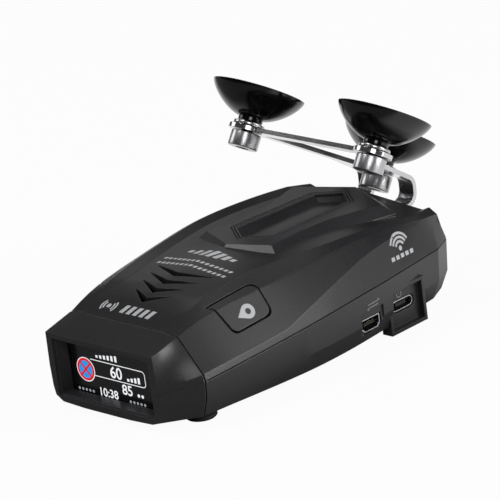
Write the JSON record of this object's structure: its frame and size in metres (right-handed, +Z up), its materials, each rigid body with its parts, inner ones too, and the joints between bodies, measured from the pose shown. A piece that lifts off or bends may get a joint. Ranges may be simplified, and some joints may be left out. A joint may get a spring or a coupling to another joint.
{
  "type": "radar detector",
  "caption": "Windscreen radar detector: sculpted two-shell case with hooded display, sprung side buttons, cable sockets and a slide-out steel bracket on suction cups.",
  "frame": {"origin": "under the middle of the bounding box, on the plane that the feet stand on", "axes": "-Y is the display side, +Y the road side, +X the side with the sockets, +Z up"},
  "size_m": [0.0762, 0.1342, 0.0694],
  "materials": {
    "case_plastic": "fine grain, charcoal",
    "hood_plastic": "satin black",
    "display_pane": "dark clear pane",
    "display_panel": "smooth",
    "button_plastic": "fine grain",
    "component_plastic": "moulded",
    "circuit_board": "green lacquer",
    "horn_metal": "cast",
    "socket_steel": "drawn, bright",
    "ceramic": "fired ceramic",
    "infrared_plastic": "smoked, polished",
    "foot_rubber": "matte",
    "screw_steel": "blackened",
    "bracket_steel": "polished sheet",
    "cup_rubber": "glossy",
    "washer_metal": "satin",
    "knob_plastic": "satin grey"
  },
  "bodies": {
    "case": {"top_cover": "case_plastic", "bottom_cover": "case_plastic", "front_bezel": "hood_plastic", "display_window": "display_pane", "display_panel": "display_panel", "left_button_switch": "component_plastic", "right_button_switch": "component_plastic", "main_board": "circuit_board", "horn_antenna": "horn_metal", "shield_can": "socket_steel", "position_antenna": "ceramic", "speaker": "component_plastic", "laser_lens": "infrared_plastic", "laser_sensor": "component_plastic", "rear_lens": "infrared_plastic", "data_socket_shell": "socket_steel", "data_socket_tongue": "component_plastic", "power_socket_shell": "socket_steel", "power_socket_tongue": "component_plastic", "foot_front_left": "foot_rubber", "foot_front_right": "foot_rubber", "foot_rear_left": "foot_rubber", "foot_rear_right": "foot_rubber", "case_screw_1": "screw_steel", "case_screw_2": "screw_steel", "case_screw_3": "screw_steel", "case_screw_4": "screw_steel"},
    "left_button_body": {"left_button": "button_plastic"},
    "right_button_body": {"right_button": "button_plastic"},
    "mount": {"mount_bracket": "bracket_steel", "left_suction_cup": "cup_rubber", "right_suction_cup": "cup_rubber", "rear_suction_cup": "cup_rubber", "left_cup_washer": "washer_metal", "right_cup_washer": "washer_metal", "rear_cup_washer": "washer_metal", "left_cup_knob": "knob_plastic", "right_cup_knob": "knob_plastic", "rear_cup_knob": "knob_plastic"}
  },
  "joints": [
    {"name": "left_button_press", "type": "slide", "parent": "case", "child": "left_button_body", "axis": [0.7071, 0, -0.7071], "range_m": [0, 0.0005], "stiffness_N_per_m": 800},
    {"name": "right_button_press", "type": "slide", "parent": "case", "child": "right_button_body", "axis": [-0.7071, 0, -0.7071], "range_m": [0, 0.0005], "stiffness_N_per_m": 800},
    {"name": "bracket_slide", "type": "slide", "parent": "case", "child": "mount", "axis": [0, 1, 0], "range_m": [0, 0.012]}
  ]
}
